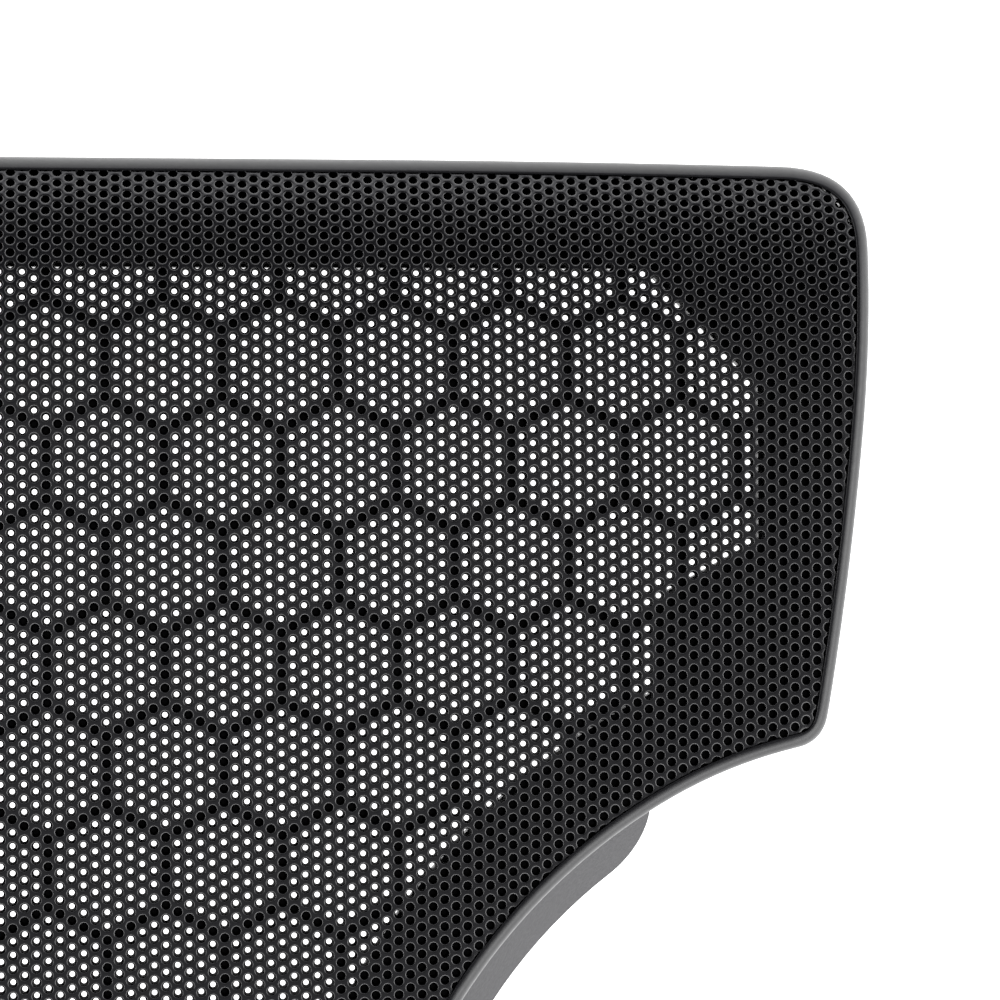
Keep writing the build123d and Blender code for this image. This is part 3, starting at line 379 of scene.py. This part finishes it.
NODE_MATERIALS = {
    "honeycomb_frame": FRAME,
    "base_pan": BLACK, "intake_grille": BLACK, "fan_frame": BLACK, "fan_rotor": BLACK,
    "control_box": BLACK, "control_box_cover": BLACK, "front_beam": BLACK,
    "left_stop_tray": BLACK, "right_stop_tray": BLACK,
    "left_laptop_stop": BLACK, "right_laptop_stop": BLACK,
    "left_rear_foot": BLACK, "right_rear_foot": BLACK,
    "left_side_leg": LEG, "right_side_leg": LEG,
    "perimeter_rim": RIM,
    "fan_isolators": RUBBER, "rest_pads": RUBBER, "rubber_feet": RUBBER,
    "left_leg_strip": RUBBER, "right_leg_strip": RUBBER,
    "left_foot_pad": RUBBER, "right_foot_pad": RUBBER,
    "fan_shaft": STEEL, "fan_screws": STEEL, "leg_screws": STEEL,
    "left_foot_pin": STEEL, "right_foot_pin": STEEL,
    "left_stop_pin": STEEL, "right_stop_pin": STEEL,
    "left_usb_socket": SHELL_STEEL, "right_usb_socket": SHELL_STEEL,
    "fan_stator": DARK_STEEL, "fan_bearing": BRASS, "fan_windings": COPPER,
    "fan_circuit_board": BOARD, "control_board": BOARD, "rotor_magnet": FERRITE,
    "power_lens": LENS, "power_switch": GLOSS, "power_rocker": GLOSS,
    "speed_wheel": GLOSS, "speed_control": GLOSS, "fan_lead": RUBBER,
    "top_skin": GRILLE,
}

for node_name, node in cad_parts.items():
    node.data.materials.clear()
    node.data.materials.append(NODE_MATERIALS[node_name])


# The perforated skin ------------------------------------------------------------------

def stop_pockets():
    """Plan boxes of the two pockets in the skin, from the trays that fill them."""
    boxes = []
    for side in ("left", "right"):
        low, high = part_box(f"{side}_stop_tray")
        boxes.append((low.x / MM, low.y / MM, high.x / MM, high.y / MM))
    return boxes


def lattice():
    """Hole centres, as distances along the crown: side to side and front to back."""
    columns = np.arange(-HALF_COLUMNS, HALF_COLUMNS + 1)
    rows = np.arange(-HALF_ROWS, HALF_ROWS + 1)
    i, j = np.meshgrid(columns, rows)
    keep = (i + j) % 2 == 0
    s = i[keep] * PITCH * math.sqrt(3) / 2
    t = j[keep] * PITCH / 2
    x, _ = crown_x(s)
    y, _ = crown_y(t)
    inside = inside_distance(x, y) > HIDDEN_UNDER_RIM
    for low_x, low_y, high_x, high_y in stop_pockets():
        covered_x = (x > low_x - POCKET_MARGIN) & (x < high_x + POCKET_MARGIN)
        covered_y = (y > low_y - POCKET_MARGIN) & (y < high_y + POCKET_MARGIN)
        inside &= ~(covered_x & covered_y)
    return s[inside], t[inside]


def cell_rings():
    """Rings of a hexagonal cell and its tapered hole, top to back: turns, radius and depth."""
    hexagon = np.radians(np.arange(0, 360, 60))
    circle = np.radians(np.arange(HOLE_SIDES) * 360 / HOLE_SIDES)
    corner_radius = PITCH / math.sqrt(3)
    return [
        (hexagon, corner_radius, 0.0),
        (circle, LAND_RADIUS, 0.0),
        (circle, *LIP[0]),
        (circle, *LIP[1]),
        (circle, BACK_RADIUS, BACK_DEPTH),
        (hexagon, corner_radius, BACK_DEPTH),
    ]


def land_triangles(hexagon_start, hole_start, from_above):
    """The flat land between a hexagon and its hole, seen from above or from below."""
    per_side = HOLE_SIDES // 6
    triangles = []
    for k in range(6):
        a, b = hexagon_start + k, hexagon_start + (k + 1) % 6
        for m in range(per_side):
            c = hole_start + (k * per_side + m) % HOLE_SIDES
            d = hole_start + (k * per_side + m + 1) % HOLE_SIDES
            outer = a if m < per_side / 2 else b
            triangles.append((outer, d, c) if from_above else (outer, c, d))
        middle = hole_start + (k * per_side + per_side // 2) % HOLE_SIDES
        triangles.append((a, b, middle) if from_above else (a, middle, b))
    return triangles


def wall_quads(upper_start, lower_start):
    """One band of the hole's wall, between two rings."""
    ahead = [(k + 1) % HOLE_SIDES for k in range(HOLE_SIDES)]
    return [
        (upper_start + k, upper_start + n, lower_start + n, lower_start + k)
        for k, n in enumerate(ahead)
    ]


def perforated_tile(name, s, t):
    """One tile of the skin: a hexagonal cell round each hole, with its lip and tapered wall."""
    rings = cell_rings()
    along_x = np.concatenate([radius * np.cos(turns) for turns, radius, _ in rings])
    along_y = np.concatenate([radius * np.sin(turns) for turns, radius, _ in rings])
    depth = np.concatenate([np.full(len(turns), deep) for turns, _, deep in rings])
    starts = np.cumsum([0] + [len(turns) for turns, _, _ in rings])
    top = land_triangles(starts[0], starts[1], True)
    underside = land_triangles(starts[5], starts[4], False)
    triangles = np.array(top + underside)
    walls = [wall_quads(starts[ring], starts[ring + 1]) for ring in (1, 2, 3)]
    quads = np.concatenate(walls)

    count = len(s)
    all_s = (s[:, None] + along_x).ravel()
    all_t = (t[:, None] + along_y).ravel()
    deep = np.tile(depth, count)
    x, drop_x = crown_x(all_s)
    y, drop_y = crown_y(all_t)
    near_edge = np.clip(TUCK_DISTANCE - inside_distance(x, y), 0, TUCK_DISTANCE + 1)
    below = np.minimum(deep + TUCK_SLOPE * near_edge, BACK_DEPTH)
    z = APEX - drop_x - drop_y - edge_roll(x, y) - below
    offsets = (np.arange(count) * starts[-1])[:, None, None]
    all_triangles = (triangles[None] + offsets).reshape(-1, 3)
    all_quads = (quads[None] + offsets).reshape(-1, 4)

    # Cells share their corners.
    keys = [np.round(value * KEYS_PER_MM).astype(np.int64) for value in (all_s, all_t, deep)]
    place = (keys[0] * KEY_STRIDE_T + keys[1]) * KEY_STRIDE_DEPTH + keys[2]
    _, first, back = np.unique(place, return_index=True, return_inverse=True)
    vertices = np.stack([x, y, z], 1)[first]
    # The lowest band of the wall is the bore, which has its own material and flat shading.
    in_bore = np.arange(len(quads)) >= 2 * HOLE_SIDES
    bore = np.concatenate([np.zeros(len(all_triangles)), np.tile(in_bore, count)])
    faces = [back[all_triangles], back[all_quads]]
    piece = add_mesh(name, vertices, faces, [GRILLE, BORE], face_material=bore)
    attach(piece, BODY)
    return piece


def perforated_skin():
    """The whole skin in tiles, so that each stays a light mesh."""
    s, t = lattice()
    edges_x = np.quantile(s, np.linspace(0, 1, TILES_X + 1))
    edges_x[-1] += 1
    for column in range(TILES_X):
        in_column = (s >= edges_x[column]) & (s < edges_x[column + 1])
        edges_y = np.quantile(t[in_column], np.linspace(0, 1, TILES_Y + 1))
        edges_y[-1] += 1
        for row in range(TILES_Y):
            chosen = in_column & (t >= edges_y[row]) & (t < edges_y[row + 1])
            perforated_tile(f"grille_{column + 1}_{row + 1}", s[chosen], t[chosen])
    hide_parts("top_skin")


perforated_skin()


# The rim ------------------------------------------------------------------------------

def ring_faces(count, steps):
    """Quads of a closed ring, for a profile of so many steps at so many places."""
    k = np.arange(count)
    n = (k + 1) % count
    faces = []
    for step in range(steps):
        here, after = step * count, (step + 1) % steps * count
        faces.append(np.stack([here + k, here + n, after + n, after + k], 1))
    return np.concatenate(faces)


def swept_ring(name, path, normals, profile, material):
    """A closed ring along a path. Its profile is of insets and heights over the top face."""
    loops = []
    for inset, rise in profile:
        plan = path - normals * inset
        z = top_face(plan[:, 0], plan[:, 1]) + rise
        loops.append(np.column_stack([plan, z]))
    faces = ring_faces(len(path), len(profile))
    piece = add_mesh(name, np.concatenate(loops), faces, [material])
    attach(piece, BODY)
    return piece


def rim_profile():
    """From the inner foot up over the rounded lip and down the outer wall."""
    profile = [(RIM_WIDTH, RIM_FOOT)]
    profile += [(RIM_WIDTH - out, RIM_RISE - down) for out, down in RIM_INNER_EDGE]
    for step in range(RIM_ROUND_STEPS + 1):
        turn = math.radians(90 * step / RIM_ROUND_STEPS)
        inset = RIM_ROUND * (1 - math.sin(turn))
        profile.append((inset, RIM_RISE - RIM_ROUND * (1 - math.cos(turn))))
    profile += [(inward, -RIM_DEPTH + up) for inward, up in RIM_LOWER_EDGE]
    profile.append((RIM_WIDTH - RIM_INNER_BEVEL, -RIM_DEPTH))
    profile.append((RIM_WIDTH, -RIM_DEPTH + RIM_INNER_BEVEL))
    return profile


rim = swept_ring("rim", OUTLINE, outward_normals(OUTLINE), rim_profile(), RIM)
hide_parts("perimeter_rim")


# Bezels round the pockets of the laptop stops -----------------------------------------

def pocket_bezel(name, box):
    """A rounded frame round a stop pocket, which finishes the cut lattice."""
    low_x, low_y, high_x, high_y = box
    corners = []
    starts = ((high_x, high_y, 0), (low_x, high_y, 90), (low_x, low_y, 180), (high_x, low_y, 270))
    for corner_x, corner_y, start in starts:
        for step in range(BEZEL_CORNER_STEPS + 1):
            turn = math.radians(start + 90 * step / BEZEL_CORNER_STEPS)
            corners.append((corner_x, corner_y, turn))
    vertices = []
    for reach, rise in BEZEL_PROFILE:
        for corner_x, corner_y, turn in corners:
            x, y = corner_x + reach * math.cos(turn), corner_y + reach * math.sin(turn)
            vertices.append((x, y, APEX + rise))
    faces = ring_faces(len(corners), len(BEZEL_PROFILE))[:, [1, 0, 3, 2]]
    piece = add_mesh(name, np.array(vertices), faces, [RIM], smooth=False)
    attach(piece, BODY)


for word, box in zip(("left", "right"), stop_pockets()):
    pocket_bezel(f"{word}_pocket_bezel", box)


# Floor, lights, camera ----------------------------------------------------------------

def white_floor():
    """A glowing white sheet just below the feet."""
    bpy.ops.mesh.primitive_plane_add(size=FLOOR_SIZE)
    floor = bpy.context.object
    floor.name = "floor"
    floor.location.z = -FLOOR_DROP * MM
    material = bpy.data.materials.new("floor_white")
    material.use_nodes = True
    shader = material.node_tree.nodes["Principled BSDF"]
    shader.inputs["Base Color"].default_value = (FLOOR_BASE, FLOOR_BASE, FLOOR_BASE, 1)
    shader.inputs["Roughness"].default_value = 1.0
    shader.inputs["Specular IOR Level"].default_value = 0
    shader.inputs["Emission Color"].default_value = (1, 1, 1, 1)
    shader.inputs["Emission Strength"].default_value = FLOOR_GLOW
    floor.data.materials.append(material)


def sky():
    """Studio surround: bright low down at the sides and in front, dim overhead and behind."""
    world = bpy.data.worlds.new("studio")
    bpy.context.scene.world = world
    world.use_nodes = True
    nodes, links = world.node_tree.nodes, world.node_tree.links
    place = nodes.new("ShaderNodeTexCoord")
    split = nodes.new("ShaderNodeSeparateXYZ")
    links.new(place.outputs["Generated"], split.inputs["Vector"])
    product = nodes.new("ShaderNodeMix")
    product.data_type = "RGBA"
    product.blend_type = "MULTIPLY"
    product.inputs["Factor"].default_value = 1
    # Axis, where the dimming starts and ends, what is left of the light, and the product's socket.
    bands = (("Z", 0.24, 0.50, 0.05, "A"), ("Y", 0.15, 0.60, 0.22, "B"))
    for axis, start, end, dim, side in bands:
        ramp = nodes.new("ShaderNodeValToRGB")
        bright, dark = ramp.color_ramp.elements
        bright.position, dark.position = start, end
        bright.color = (1, 1, 1, 1)
        dark.color = (dim, dim, dim * SKY_BLUE, 1)
        links.new(split.outputs[axis], ramp.inputs["Fac"])
        sockets = [k for k in product.inputs if k.name == side and k.type == "RGBA"]
        links.new(ramp.outputs["Color"], sockets[0])
    result = [k for k in product.outputs if k.type == "RGBA"][0]
    links.new(result, nodes["Background"].inputs["Color"])
    nodes["Background"].inputs["Strength"].default_value = SKY_STRENGTH


def camera():
    """Over the pad's rear right part, looking down and slightly to the right."""
    over_x, over_y, above = 75.99, 99.49, 658.1
    tilt, roll = 0.09087, -0.00492
    focal_share = 4.473          # focal length over sensor width
    right = Vector((math.cos(tilt), 0, math.sin(tilt)))
    up = Vector((0, 1, 0))
    turned_right = right * math.cos(roll) + up * math.sin(roll)
    turned_up = up * math.cos(roll) - right * math.sin(roll)
    back = turned_right.cross(turned_up)
    data = bpy.data.cameras.new("camera")
    data.sensor_width = 36
    data.lens = focal_share * data.sensor_width
    data.clip_start, data.clip_end = 0.01, 50
    eye = bpy.data.objects.new("camera", data)
    bpy.context.scene.collection.objects.link(eye)
    turn = Matrix((turned_right, turned_up, back)).transposed().to_4x4()
    eye.matrix_world = Matrix.Translation(Vector((over_x, over_y, APEX + above)) * MM) @ turn
    bpy.context.scene.camera = eye


white_floor()
sky()
camera()
bpy.context.scene.view_settings.view_transform = "Standard"
